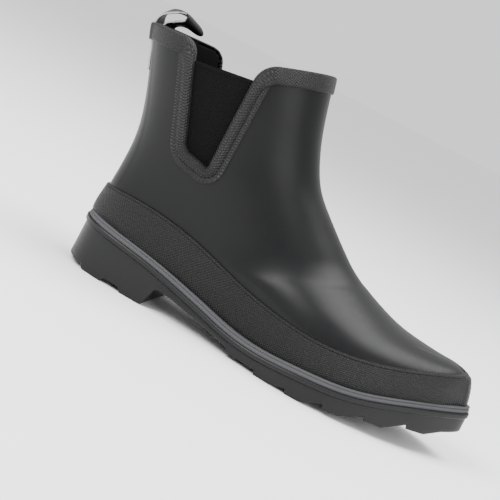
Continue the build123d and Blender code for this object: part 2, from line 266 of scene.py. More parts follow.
@dataclass(frozen=True)
class Finish:
    """A procedural finish: colour, gloss and fine relief."""

    name: str
    slot: str
    colour: tuple
    roughness: float
    texture: Texture = Texture.SMOOTH
    pitch: float = 0.0015
    depth: float = 0.3
    mottle: float = 0.1
    metallic: float = 0.0
    specular: float = 0.35

    def material(self) -> bpy.types.Material:
        """Returns:
            The finish as a material, made once.
        """
        if self.name in bpy.data.materials:
            return bpy.data.materials[self.name]
        material = bpy.data.materials.new(self.name)
        material.use_nodes = True
        tree = material.node_tree
        shader = tree.nodes["Principled BSDF"]
        shader.inputs["Metallic"].default_value = self.metallic
        shader.inputs["Specular IOR Level"].default_value = self.specular
        place = tree.nodes.new("ShaderNodeTexCoord")
        self._tint(tree, place, shader)
        relief = self._relief(tree, place)
        bump = tree.nodes.new("ShaderNodeBump")
        bump.inputs["Strength"].default_value = self.depth
        bump.inputs["Distance"].default_value = 0.0004
        tree.links.new(relief, bump.inputs["Height"])
        tree.links.new(bump.outputs["Normal"], shader.inputs["Normal"])
        return material

    def _noise(self, tree: bpy.types.NodeTree, place: bpy.types.Node, scale: float) -> bpy.types.Node:
        """Args:
            tree: the material's nodes.
            place: texture coordinates.
            scale: noise scale per metre.

        Returns:
            A noise node.
        """
        noise = tree.nodes.new("ShaderNodeTexNoise")
        noise.inputs["Scale"].default_value = scale
        noise.inputs["Detail"].default_value = 4.0
        tree.links.new(place.outputs["Object"], noise.inputs["Vector"])
        return noise

    def _tint(self, tree: bpy.types.NodeTree, place: bpy.types.Node, shader: bpy.types.Node) -> None:
        """Varies the colour and the roughness softly over the surface."""
        noise = self._noise(tree, place, 45.0)
        ramp = tree.nodes.new("ShaderNodeValToRGB")
        for element, level in zip(ramp.color_ramp.elements, (1 - self.mottle, 1 + self.mottle)):
            element.color = tuple(min(1.0, part * level) for part in self.colour) + (1.0,)
        tree.links.new(noise.outputs["Fac"], ramp.inputs["Fac"])
        tree.links.new(ramp.outputs["Color"], shader.inputs["Base Color"])
        spread = tree.nodes.new("ShaderNodeMapRange")
        spread.inputs["To Min"].default_value = max(0.02, self.roughness - 0.05)
        spread.inputs["To Max"].default_value = min(1.0, self.roughness + 0.05)
        fine = self._noise(tree, place, 260.0)
        tree.links.new(fine.outputs["Fac"], spread.inputs["Value"])
        tree.links.new(spread.outputs["Result"], shader.inputs["Roughness"])

    def _math(self, tree: bpy.types.NodeTree, kind: str, first: object, second: object) -> object:
        """Args:
            tree: the material's nodes.
            kind: math operation.
            first: a socket or a number.
            second: a socket or a number.

        Returns:
            The result socket.
        """
        node = tree.nodes.new("ShaderNodeMath")
        node.operation = kind
        for socket, value in zip(node.inputs, (first, second)):
            if isinstance(value, (int, float)):
                socket.default_value = value
            else:
                tree.links.new(value, socket)
        return node.outputs["Value"]

    def _relief(self, tree: bpy.types.NodeTree, place: bpy.types.Node) -> object:
        """Args:
            tree: the material's nodes.
            place: texture coordinates.

        Returns:
            The height socket of the fine relief.
        """
        if self.texture is Texture.SMOOTH:
            return self._noise(tree, place, 900.0).outputs["Fac"]
        split = tree.nodes.new("ShaderNodeSeparateXYZ")
        tree.links.new(place.outputs["UV"], split.inputs["Vector"])
        along, across = split.outputs["X"], split.outputs["Y"]
        rate = 2 * math.pi / self.pitch
        if self.texture is Texture.RIBS:
            return self._math(tree, "SINE", self._math(tree, "MULTIPLY", along, rate), 0.0)
        if self.texture is Texture.WEAVE:
            first = self._math(tree, "SINE", self._math(tree, "MULTIPLY", along, rate), 0.0)
            second = self._math(tree, "SINE", self._math(tree, "MULTIPLY", across, rate * 0.8), 0.0)
            return self._math(tree, "MULTIPLY", first, second)
        rise = self._math(tree, "ADD", along, across)
        fall = self._math(tree, "SUBTRACT", along, across)
        first = self._math(tree, "SINE", self._math(tree, "MULTIPLY", rise, rate), 0.0)
        second = self._math(tree, "SINE", self._math(tree, "MULTIPLY", fall, rate), 0.0)
        return self._math(tree, "MAXIMUM", first, second)


RUBBER = Finish("smooth_rubber", "upper_rubber", (0.0022, 0.0023, 0.0027), 0.4, depth=0.04, specular=0.2)
KNURLED = Finish("knurled_rubber", "textured_rubber", (0.0062, 0.006, 0.006), 0.46, Texture.KNURL, 0.0019,
                 0.9, specular=0.26)
SOLE = Finish("sole_rubber", "outsole_rubber", (0.005, 0.005, 0.0056), 0.45, depth=0.12, specular=0.26)
BEAD = Finish("bead_rubber", "bead_rubber", (0.0035, 0.0035, 0.004), 0.45, depth=0.05, specular=0.2)
ELASTIC = Finish("elastic_web", "elastic", (0.0024, 0.0024, 0.0026), 0.9, Texture.WEAVE, 0.0013, 0.9,
                 specular=0.12)
CLOTH = Finish("lining_cloth", "lining", (0.004, 0.004, 0.0044), 0.95, depth=0.5, specular=0.1)
SOCK = Finish("footbed_cloth", "footbed_cloth", (0.008, 0.008, 0.0085), 0.9, Texture.WEAVE, 0.0014, 0.7,
              specular=0.15)
TAPE = Finish("strap_tape", "strap", (0.003, 0.003, 0.0034), 0.5, Texture.RIBS, 0.001, 0.25, specular=0.2)
# painted highlight: a pale grey on the strap tape's side edges stands in for the light catching them; the
# tape itself is nearly black
TAPE_EDGE_HIGHLIGHT = Finish("strap_edge_painted_highlight", "strap", (0.3, 0.32, 0.31), 0.7)
CANVAS = Finish("canvas", "stiffener", (0.25, 0.24, 0.22), 0.85, depth=0.5)
FIBRE = Finish("fibre_board", "board", (0.42, 0.35, 0.25), 0.9, depth=0.5)
FOAM = Finish("soft_foam", "foam", (0.12, 0.12, 0.13), 0.9, depth=0.6)
SPONGE = Finish("sponge_rubber", "filler_rubber", (0.16, 0.15, 0.14), 0.85, depth=0.6)
STEEL = Finish("spring_steel", "steel", (0.6, 0.6, 0.62), 0.32, metallic=1.0, depth=0.1)


# ---- meshes ---------------------------------------------------------------------------------------
class Workshop:
    """Makes mesh pieces from grids of points in boot millimetres."""

    def __init__(self, placing: Placing) -> None:
        """Args:
            placing: where the boot stands in the frame.
        """
        self.placing = placing

    def grid(self, name: str, rows: np.ndarray, finish: Finish, round_columns: bool = False,
             round_rows: bool = False, caps: bool = False, keep: np.ndarray = None,
             flat_angle: float = 35.0) -> bpy.types.Object:
        """Args:
            name: the piece's name.
            rows: points as rows x columns x 3.
            finish: its finish.
            round_columns: join the last column to the first.
            round_rows: join the last row to the first.
            caps: close the ends; the end rows of a ring, or the end columns of a tube.
            keep: which quads to keep, as rows x columns.
            flat_angle: edges sharper than this stay sharp.

        Returns:
            The piece, with lengths along its surface in its UV map.
        """
        high, wide = rows.shape[:2]
        i, j = np.meshgrid(np.arange(high if round_rows else high - 1),
                           np.arange(wide if round_columns else wide - 1), indexing="ij")
        if keep is not None:
            i, j = i[keep[:i.shape[0], :i.shape[1]]], j[keep[:j.shape[0], :j.shape[1]]]
        i, j = i.ravel(), j.ravel()
        below, right = (i + 1) % high, (j + 1) % wide
        quads = np.stack([i * wide + j, i * wide + right, below * wide + right, below * wide + j], axis=1)
        across = self._runs(rows.mean(axis=1), round_rows)
        along = self._runs(rows[high // 2], round_columns)
        map_u = np.stack([along[j], along[j + 1], along[j + 1], along[j]], axis=1)
        map_v = np.stack([across[i], across[i], across[i + 1], across[i + 1]], axis=1)
        faces = quads.tolist()
        corners = np.stack([map_u.ravel(), map_v.ravel()], axis=1)
        extra = []
        if caps and round_rows:
            extra = [[k * wide for k in range(high)], [k * wide + wide - 1 for k in range(high)]]
        elif caps and round_columns:
            extra = [list(range(wide)), list(range((high - 1) * wide, high * wide))]
        mesh = bpy.data.meshes.new(name)
        mesh.from_pydata(self.placing.points(rows.reshape(-1, 3)).tolist(), [], faces + extra)
        layer = mesh.uv_layers.new(name="UVMap")
        spare = sum(len(face) for face in extra)
        layer.data.foreach_set("uv", np.concatenate([corners, np.zeros((spare, 2))]).ravel())
        return self.finish(name, mesh, finish, flat_angle)

    def _runs(self, line: np.ndarray, closed: bool) -> np.ndarray:
        """Args:
            line: points in millimetres.
            closed: whether the line comes back to its start.

        Returns:
            Metres along the line at each point, with one more at the end.
        """
        after = line[:1] if closed else line[-1:]
        steps = np.linalg.norm(np.diff(np.concatenate([line, after]), axis=0), axis=1)
        return np.concatenate([[0], np.cumsum(steps)]) / 1000

    def finish(self, name: str, mesh: bpy.types.Mesh, finish: Finish, flat_angle: float
               ) -> bpy.types.Object:
        """Args:
            name: the piece's name.
            mesh: its mesh.
            finish: its finish.
            flat_angle: edges sharper than this stay sharp.

        Returns:
            The piece in the scene.
        """
        work = bmesh.new()
        work.from_mesh(mesh)
        bmesh.ops.delete(work, geom=[v for v in work.verts if not v.link_faces], context="VERTS")
        bmesh.ops.recalc_face_normals(work, faces=work.faces)
        work.to_mesh(mesh)
        work.free()
        mesh.polygons.foreach_set("use_smooth", [True] * len(mesh.polygons))
        mesh.set_sharp_from_angle(angle=math.radians(flat_angle))
        mesh.materials.append(finish.material())
        obj = bpy.data.objects.new(name, mesh)
        bpy.context.scene.collection.objects.link(obj)
        return obj

    def thicken(self, obj: bpy.types.Object, thickness: float) -> bpy.types.Object:
        """Args:
            obj: an open shell.
            thickness: millimetres to add on its inner side.

        Returns:
            The same piece with that thickness.
        """
        solid = obj.modifiers.new("wall", "SOLIDIFY")
        solid.thickness = thickness / 1000
        solid.offset = -1.0
        return obj


# ---- the upper's form -----------------------------------------------------------------------------
class UpperForm:
    """The smooth outer surface of the upper and surfaces beside it."""

    ROWS = 230
    COLUMNS = 260
    DOME = 5

    def __init__(self, sizes: BootSizes) -> None:
        """Args:
            sizes: the boot's sizes.
        """
        self.sizes = sizes
        table = np.array(sizes.stations, float)
        step = (np.linalg.norm(np.diff(table[:, 0:2], axis=0), axis=1)
                + np.linalg.norm(np.diff(table[:, 2:4], axis=0), axis=1)) / 2
        self.run = np.concatenate([[0], np.cumsum(step)])
        self.table = Curve(self.run, table)
        self.outer, self.inner = table_curve(sizes.foot, 1), table_curve(sizes.foot, 2)
        self.shaft = table_curve(sizes.shaft)
        self.sole_top = table_curve(sizes.sole_top)
        self.foxing_top = table_curve(sizes.foxing_top)
        self.trees = {}

    def points(self, run: np.ndarray, angle: np.ndarray, grow: float) -> np.ndarray:
        """Args:
            run: how far down the sections.
            angle: angle from the front ridge, inner side positive.
            grow: distance outside the surface.

        Returns:
            Points in boot millimetres.
        """
        row = self.table(run)
        fx, fz, bx, bz, ridge, front_n, back_n = np.moveaxis(row, -1, 0)
        length = np.hypot(fx - bx, fz - bz)
        ux, uz = (fx - bx) / length, (fz - bz) / length
        along, across = np.cos(angle), np.sin(angle)
        n = back_n + (front_n - back_n) * ease(along, -0.12, 0.12)
        reach = (np.abs(along) ** n + np.abs(across) ** n) ** (-1 / n)
        slide = (length / 2 + grow) * reach * along
        x, z = (fx + bx) / 2 + slide * ux, (fz + bz) / 2 + slide * uz
        share = ease(z, 50, 105)
        outer = self.outer(x) * (1 - share) + self.shaft(z) * share + grow
        inner = self.inner(x) * (1 - share) + self.shaft(z) * share + grow
        index = np.interp(run, self.run, np.arange(len(self.run)))
        first_nose = len(self.run) - self.sizes.nose_stations
        level = np.clip(index - first_nose, 0, 1)
        centre = ridge * ((1 - level) * (1 + reach * along) / 2 + level)
        edge = np.where(across < 0, -outer, inner)
        y = centre + (edge - centre) * np.abs(reach * across)
        nose = np.clip((index + 1 - first_nose) / self.sizes.nose_stations, 0, 1)
        return np.stack([x + nose * grow * uz, y, z], axis=-1)

    def surface(self, grow: float) -> np.ndarray:
        """Args:
            grow: distance outside the surface.

        Returns:
            A grid of points, closed round its columns, with a domed toe end.
        """
        run = np.linspace(0, self.run[-1], self.ROWS)
        angle = np.linspace(-math.pi, math.pi, self.COLUMNS, endpoint=False)
        grid = self.points(*np.meshgrid(run, angle, indexing="ij"), grow)
        ring = grid[-1]
        middle = ring.mean(axis=0)
        turns = np.linspace(0, math.pi / 2, self.DOME + 1)[1:]
        forward = np.array([0.96, 0.0, 0.28])
        dome = [middle + (ring - middle) * math.cos(t) + forward * 2.2 * math.sin(t) for t in turns]
        grid = np.concatenate([grid, np.array(dome)])
        grid[..., 2] = np.maximum(grid[..., 2], self.sole_top(grid[..., 0]) + max(0.0, -grow))
        return grid

    def tree(self, grow: float) -> BVHTree:
        """Args:
            grow: distance outside the surface.

        Returns:
            That surface for rays and nearest points.
        """
        if grow not in self.trees:
            grid = self.surface(grow)
            high, wide = grid.shape[:2]
            i, j = np.meshgrid(np.arange(high - 1), np.arange(wide), indexing="ij")
            right = (j + 1) % wide
            quads = np.stack([i * wide + j, i * wide + right, (i + 1) * wide + right, (i + 1) * wide + j],
                             axis=-1).reshape(-1, 4)
            self.trees[grow] = BVHTree.FromPolygons(grid.reshape(-1, 3).tolist(), quads.tolist())
        return self.trees[grow]

    def cast(self, origin: tuple, way: tuple, grow: float = 0.0) -> np.ndarray:
        """Args:
            origin: where the ray starts.
            way: its direction.
            grow: which surface it meets.

        Returns:
            The point it meets, or None.
        """
        hit = self.tree(grow).ray_cast(Vector(origin), Vector(way))[0]
        return None if hit is None else np.array(hit)

    def nearest(self, point: np.ndarray) -> tuple:
        """Args:
            point: any point near the surface.

        Returns:
            The nearest surface point and the outward normal there.
        """
        place, normal = self.tree(0.0).find_nearest(Vector(point))[:2]
        normal = np.array(normal)
        away = np.array([point[0] - 50.0, point[1], 0.0])
        return np.array(place), normal if normal @ away >= 0 else -normal


class Opening:
    """The edge of the collar and the gore cut-outs on the upper."""

    STEP = 0.8
    COLLAR_STEPS = 70
    SIDE_RAYS = (6.0, 86.0)      # x between which sideways rays find the edge

    def __init__(self, form: UpperForm) -> None:
        """Args:
            form: the upper's form.
        """
        self.form = form
        self.side = self._side_line()
        self.path = self._path()

    def _side_line(self) -> np.ndarray:
        """Returns:
            The edge in the side view, with rounded corners.
        """
        corners = [np.array(corner, float) for corner, _ in self.form.sizes.opening]
        radii = [radius for _, radius in self.form.sizes.opening]
        line = [corners[0]]
        for k in range(1, len(corners) - 1):
            back, ahead = unit(corners[k - 1] - corners[k]), unit(corners[k + 1] - corners[k])
            half = math.acos(float(np.clip(back @ ahead, -1, 1))) / 2
            cut = radii[k] / math.tan(half)
            middle = corners[k] + unit(back + ahead) * radii[k] / math.sin(half)
            start, end = corners[k] + back * cut - middle, corners[k] + ahead * cut - middle
            for share in np.linspace(0, 1, 12):
                line.append(middle + unit(start * (1 - share) + end * share) * radii[k])
        line.append(corners[-1])
        return even_line(np.array(line), self.STEP)

    def _collar(self, side: int, start: np.ndarray, end_angle: float) -> np.ndarray:
        """Args:
            side: 1 for the inner side, -1 for the outer side.
            start: the last point found by sideways rays.
            end_angle: angle of the centre line that the collar runs to.

        Returns:
            Points along the collar to the centre line.
        """
        first = math.atan2(abs(start[1]), start[0] - SHAFT_AXIS_X)
        line = []
        for angle in np.linspace(first, end_angle, self.COLLAR_STEPS):
            height = start[2]
            point = start
            for _ in range(5):
                way = (math.cos(angle), side * math.sin(angle), 0.0)
                hit = self.form.cast((SHAFT_AXIS_X, 0.0, height), way)
                if hit is None:
                    break
                point = hit
                if not 20 < hit[0] < 80:
                    height = float(np.interp(hit[0], self.side[:, 0], self.side[:, 1]))
            line.append(point)
        return np.array(line)

    def _path(self) -> np.ndarray:
        """Returns:
            The whole closed edge on the surface: outer side from the back to the front, then back.
        """
        rear, front = self.SIDE_RAYS
        inside = self.side[(self.side[:, 0] > rear) & (self.side[:, 0] < front)]
        halves = []
        for side in (-1, 1):
            rays = [self.form.cast((x, side * RAY_REACH, z), (0.0, -side, 0.0)) for x, z in inside]
            middle = np.array([hit for hit in rays if hit is not None])
            behind = self._collar(side, middle[0], math.pi)[::-1]
            ahead = self._collar(side, middle[-1], 0.0)
            halves.append(np.concatenate([behind[:-1], middle, ahead[1:]]))
        ring = np.concatenate([halves[0][:-1], halves[1][::-1][:-1]])
        ring = even_line(np.concatenate([ring, ring[:1]]), self.STEP)[:-1]
        return smooth_ring(ring, 2)

    def removed(self, centres: np.ndarray, margin: float) -> np.ndarray:
        """Args:
            centres: points on or near the surface.
            margin: how far outside the edge still counts as open.

        Returns:
            Which points lie inside the opening, or within margin of its edge.
        """
        x, z = centres[:, 0], centres[:, 2]
        polygon = np.concatenate([self.side, [[BRIM, SKY], [BACK_LINE_X, SKY]]])
        inside = np.zeros(len(x), bool)
        for first, second in zip(polygon, np.roll(polygon, -1, axis=0)):
            crosses = (first[1] > z) != (second[1] > z)
            with np.errstate(divide="ignore", invalid="ignore"):
                at = (second[0] - first[0]) * (z - first[1]) / (second[1] - first[1]) + first[0]
            inside ^= crosses & (x < at)
        near = np.zeros(len(x), bool)
        if margin > 0:
            for start in range(0, len(x), 4000):
                part = centres[start:start + 4000]
                gap = np.linalg.norm(part[:, None] - self.path[None, ::2], axis=2).min(axis=1)
                near[start:start + 4000] = gap < margin
        return inside | near


# ---- sub-assemblies -------------------------------------------------------------------------------
@dataclass
class UpperShell:
    """The smooth rubber upper."""

    form: UpperForm
    opening: Opening
    shop: Workshop
    margin: float = 3.0

    def build(self) -> bpy.types.Object:
        """Returns:
            The shell, cut back under the trims.
        """
        grid = self.form.surface(0.0)
        grid = self._seam_relief(grid)
        high, wide = grid.shape[:2]
        centres = (grid[:-1] + grid[1:]) / 2
        gone = self.opening.removed(centres.reshape(-1, 3), self.margin).reshape(high - 1, wide)
        low = centres[..., 2] < self.form.sole_top(centres[..., 0]) + 0.2
        shell = self.shop.grid("upper_shell_rubber", grid, RUBBER, True, keep=~(gone | low), flat_angle=60)
        self.shop.thicken(shell, self.form.sizes.rubber)
        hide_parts("upper_shell")
        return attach(shell, "boot")

    def _seam_relief(self, grid: np.ndarray) -> np.ndarray:
        """Args:
            grid: the smooth surface.

        Returns:
            The surface with the soft edges of the tape under the rubber at the back.
        """
        x, y, z = np.moveaxis(grid, -1, 0)
        back = ease(-x, -45, -20) * ease(z, 52, 62)
        raised = (ease(y + 19, 0, 2.2) - ease(y - 19, -2.2, 0)) * back
        moved = grid.copy()
        moved[..., 0] -= 0.35 * raised
        return moved


@dataclass
class Lining:
    """The cloth inside the upper and the footbed's cloth."""

    form: UpperForm
    opening: Opening
    shop: Workshop
    depth: float = 2.85
    cloth: float = 0.75
    margin: float = 3.4          # cut back from the opening's edge
    bed: tuple = (11.5, 266.0)   # back and front of the footbed
    cover: float = 0.6
    ROWS = 150
    COLUMNS = 40

    def build(self) -> None:
        """Makes the sock and the footbed's cover."""
        grid = self.form.surface(-self.depth)
        high, wide = grid.shape[:2]
        centres = (grid[:-1] + grid[1:]) / 2
        gone = self.opening.removed(centres.reshape(-1, 3), self.margin).reshape(high - 1, wide)
        sock = self.shop.grid("lining_sock_cloth", grid, CLOTH, True, keep=~gone, flat_angle=60)
        self.shop.thicken(sock, self.cloth)
        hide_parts("lining_sock", "lining_backing")
        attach(sock, "boot")
        self._footbed()

    def _footbed(self) -> None:
        """The woven cover on the footbed, gently dished."""
        sizes = self.form.sizes
        rows = []
        depth = -sizes.rubber - sizes.lining
        share = np.linspace(0, 1, self.COLUMNS)
        for x in np.linspace(*self.bed, self.ROWS):
            height = float(self.form.sole_top(x)) + sizes.floor
            ends = [self.form.cast((x, 3.0, height), (0.0, way, 0.0), depth) for way in (-1.0, 1.0)]
            if ends[0] is None or ends[1] is None:
                continue
            y = ends[0][1] + 0.3 + share * (ends[1][1] - ends[0][1] - 0.6)
            z = height - 0.35 + 0.3 * np.abs(2 * share - 1) ** 4
            rows.append(np.stack([np.full(self.COLUMNS, x), y, z], axis=1))
        cover = self.shop.grid("footbed_cover_cloth", np.array(rows), SOCK)
        self.shop.thicken(cover, self.cover)
        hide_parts("footbed_cover")
        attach(cover, "boot")


@dataclass
class GorePanel:
    """One elastic gore with its hem."""

    form: UpperForm
    shop: Workshop
    side: int
    name: str
    behind: float = 6.0          # elastic tucked behind the rubber
    low: float = 93.5            # z of its hidden lower edge
    cloth: float = 0.8
    hem_out: float = 0.55        # half thickness and half height of the hem's fold
    hem_up: float = 1.5
    hem_depth: float = 0.35
    ROWS = 70
    COLUMNS = 60
    PASSES = 3

    def _row(self, share: float) -> np.ndarray:
        """Args:
            share: 0 at the top edge, 1 at the bottom.

        Returns:
            One row of points from the rear to the front.
        """
        (ax, az), (bx, bz) = self.form.sizes.gore_top
        rear_top, rear_low, front_low, front_top = [np.array(corner) for corner, _
                                                    in self.form.sizes.opening[1:5]]
        points = []
        for across in np.linspace(0, 1, self.COLUMNS):
            x = SHAFT_AXIS_X
            for _ in range(self.PASSES):
                top = az + (x - ax) / (bx - ax) * (bz - az)
                z = top + share * (self.low - top)
                rear = np.interp(z, (rear_low[1], rear_top[1]), (rear_low[0], rear_top[0])) - self.behind
                front = np.interp(z, (front_low[1], front_top[1]), (front_low[0], front_top[0])) + self.behind
                x = rear + across * (front - rear)
            start, way = (x, self.side * RAY_REACH, z), (0.0, -self.side, 0.0)
            points.append(self.form.cast(start, way, -self.form.sizes.rubber))
        return np.array(points)

    def build(self) -> None:
        """Makes the panel and the hem that finishes its top."""
        rows = np.array([self._row(share) for share in np.linspace(0, 1, self.ROWS)])
        panel = self.shop.grid(f"gore_{self.name}_elastic", rows, ELASTIC)
        self.shop.thicken(panel, self.cloth)
        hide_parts(f"gore_{self.name}")
        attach(panel, "boot")
        out = np.array([0.0, self.side, 0.0])
        up = np.array([0.0, 0.0, 1.0])
        edge = rows[0]
        turn = np.linspace(0, 2 * math.pi, 14, endpoint=False)
        hem = [edge + out * (self.hem_out * math.sin(t) - self.hem_depth)
               + up * self.hem_up * (math.cos(t) - 1) for t in turn]
        fold = self.shop.grid(f"gore_hem_{self.name}_fold", np.array(hem), ELASTIC, False, True, True)
        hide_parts(f"gore_hem_{self.name}")
        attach(fold, "boot")


@dataclass
class TrimBands:
    """The knurled bands round the collar and the gores."""

    form: UpperForm
    opening: Opening
    shop: Workshop
    collar: tuple = ((0.9, -3.9), (0.1, -3.9), (-0.35, -3.2), (-0.4, -1.5), (-0.3, 0.2), (0.05, 0.9),
                     (0.5, 1.3), (1.1, 1.5), (3.5, 1.55), (7.0, 1.55), (9.6, 1.5), (10.4, 1.4), (10.8, 1.1),
                     (11.0, 0.5), (11.0, -0.4), (8.0, -0.5), (3.0, -0.5), (1.4, -1.0))
    gore: tuple = ((0.9, -3.2), (0.1, -3.2), (-0.3, -2.6), (-0.35, -1.2), (-0.25, 0.1), (0.1, 0.9),
                   (0.7, 1.6), (1.6, 2.1), (3.2, 2.35), (5.2, 2.2), (6.6, 1.6), (7.2, 0.95), (7.7, 1.15),
                   (10.6, 1.0), (11.0, -0.4), (8.0, -0.5), (3.0, -0.5), (1.4, -1.0))

    collar_line: tuple = ((-20, 161.5), (23.4, 165.3), (68.3, 171.5), (110, 187))
    rear_split: tuple = (18.0, 162.5)      # side-view points where gore trim meets collar trim
    front_split: tuple = (75.0, 174.0)
    bridge: float = 1.5                    # rise over the pull strap
    FAR = 999

    def build(self) -> None:
        """Makes the four bands, meeting at the top corners of the gores."""
        path = self.opening.path
        surface = [self.form.nearest(point) for point in path]
        normal = unit(smooth_ring(np.array([pair[1] for pair in surface]), 6))
        tangent = unit(smooth_ring(np.roll(path, -1, axis=0) - np.roll(path, 1, axis=0), 4))
        away = unit(np.cross(normal, tangent))
        line = np.array(self.collar_line)
        level = path[:, 2] - np.interp(path[:, 0], line[:, 0], line[:, 1])
        middle = np.argmin(np.where((path[:, 1] < 0), path[:, 2], self.FAR))
        if away[middle][2] > 0:
            away = -away
        gore_share = smooth_ring(ease(-level, 4.0, 16.0), 10)
        profile = (np.array(self.collar)[None] * (1 - gore_share[:, None, None])
                   + np.array(self.gore)[None] * gore_share[:, None, None])
        bulge = ease(-path[:, 0], -8, 4) * (1 - ease(np.abs(path[:, 1]), 12.0, 16.0)) * self.bridge
        grid = np.zeros((profile.shape[1], len(path), 3))
        for j, point in enumerate(path):
            for i, (width, height) in enumerate(profile[j]):
                place, flat = self.form.nearest(point + away[j] * max(0.0, width))
                raised = height + (bulge[j] if height > 0.3 else 0.0)
                grid[i, j] = place + away[j] * min(0.0, width) + flat * raised
        self._split(grid, path)

    def _split(self, grid: np.ndarray, path: np.ndarray) -> None:
        """Args:
            grid: profile rows by path columns.
            path: the edge that the columns follow.
        """
        rear_top, front_top = [
            [int(np.argmin(np.linalg.norm(path[:, [0, 2]] - corner, axis=1)
                           + self.FAR * (path[:, 1] * side < 0))) for side in (-1, 1)]
            for corner in (self.rear_split, self.front_split)]
        spans = (("gore_trim_lateral", rear_top[0], front_top[0]),
                 ("collar_trim_front", front_top[0], front_top[1]),
                 ("gore_trim_medial", front_top[1], rear_top[1]),
                 ("collar_trim_rear", rear_top[1], rear_top[0] + len(path)))
        for node, start, end in spans:
            columns = np.arange(start, end + 1) % len(path)
            band = self.shop.grid(f"{node}_band", grid[:, columns], KNURLED, False, True, True,
                                  flat_angle=50)
            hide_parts(node)
            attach(band, "boot")


class Outline:
    """The plan line of the outsole with its inward direction."""

    COUNT = 1500

    def __init__(self, sizes: BootSizes) -> None:
        """Args:
            sizes: the boot's sizes.
        """
        self.points = closed_loop(sizes.outline, self.COUNT)
        run = unit(np.roll(self.points, -1, axis=0) - np.roll(self.points, 1, axis=0))
        run = unit(smooth_ring(run, 4))
        self.inward = np.stack([-run[:, 1], run[:, 0]], axis=1)

    def inset(self, distance: np.ndarray) -> np.ndarray:
        """Args:
            distance: how far in from the line.

        Returns:
            The plan points there.
        """
        return self.points + self.inward * np.reshape(distance, (-1, 1))


@dataclass
class Rand:
    """The knurled foxing band and the bead under it."""

    form: UpperForm
    outline: Outline
    shop: Workshop

    reach: float = 25.0          # rays start this far outside the outsole's line
    drop: float = 0.8            # how far a ray that misses is lowered
    PASSES = 3
    DROPS = 12

    def _wall(self, share: float, offset: float) -> np.ndarray:
        """Args:
            share: 0 at the bottom of the foxing, 1 at its top.
            offset: how far outside the upper.

        Returns:
            One ring of points.
        """
        ring = []
        for point, way in zip(self.outline.points, self.outline.inward):
            start = point - way * self.reach
            hit = None
            x = point[0]
            for _ in range(self.PASSES):
                low = float(self.form.sole_top(x)) + self.form.sizes.bead
                high = float(self.form.foxing_top(x))
                height = low + (high - low) * share
                for step in range(self.DROPS):
                    origin = (start[0], start[1], height - step * self.drop)
                    found = self.form.cast(origin, (way[0], way[1], 0.0))
                    if found is not None:
                        break
                if found is None:
                    break
                hit = found
                x = float(hit[0])
            if hit is None:
                hit = np.array([point[0], point[1], float(self.form.sole_top(x))])
            ring.append(hit - np.array([way[0], way[1], 0.0]) * offset)
        return smooth_ring(np.array(ring), 3)

    def build(self) -> None:
        """Makes the foxing band and the welt bead."""
        thick = self.form.sizes.foxing
        base = self._wall(0.0, 0.0)
        rows = [self._wall(0.0, -0.6), self._wall(0.0, thick * 0.8), self._wall(0.02, thick)]
        rows += [self._wall(share, thick) for share in (0.15, 0.3, 0.45, 0.6, 0.75, 0.86)]
        rows += [self._wall(0.9, thick), self._wall(0.915, thick - 0.35), self._wall(0.93, thick)]
        rows += [self._wall(0.975, thick), self._wall(0.992, thick * 0.75), self._wall(1.0, thick * 0.3),
                 self._wall(1.0, -0.6)]
        band = self.shop.grid("foxing_band_knurled", np.array(rows), KNURLED, True, True, flat_angle=50)
        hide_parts("foxing_band")
        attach(band, "boot")
        self._bead(base)

    def _bead(self, base: np.ndarray) -> None:
        """Args:
            base: the upper's wall at the top of the bead.
        """
        low = self.form.sole_top(self.outline.points[:, 0])
        profile = ((6.0, -0.3), (1.6, -0.3), (1.2, 0.5), (1.0, 1.3), (1.3, 2.1), (1.9, 2.5), (1.9, 2.8),
                   (1.5, 3.2), (1.6, 3.8), (2.2, 4.2))
        rows = []
        for inset, height in profile:
            plan = self.outline.inset(np.full(len(low), inset))
            rows.append(np.column_stack([plan, low + height]))
        inner = base.copy()
        inner[:, :2] += self.outline.inward * 0.8
        for height in (4.5, -0.3):
            rows.append(np.column_stack([inner[:, :2], low + height]))
        bead = self.shop.grid("welt_bead_strip", np.array(rows), BEAD, True, True, flat_angle=50)
        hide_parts("welt_bead")
        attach(bead, "boot")


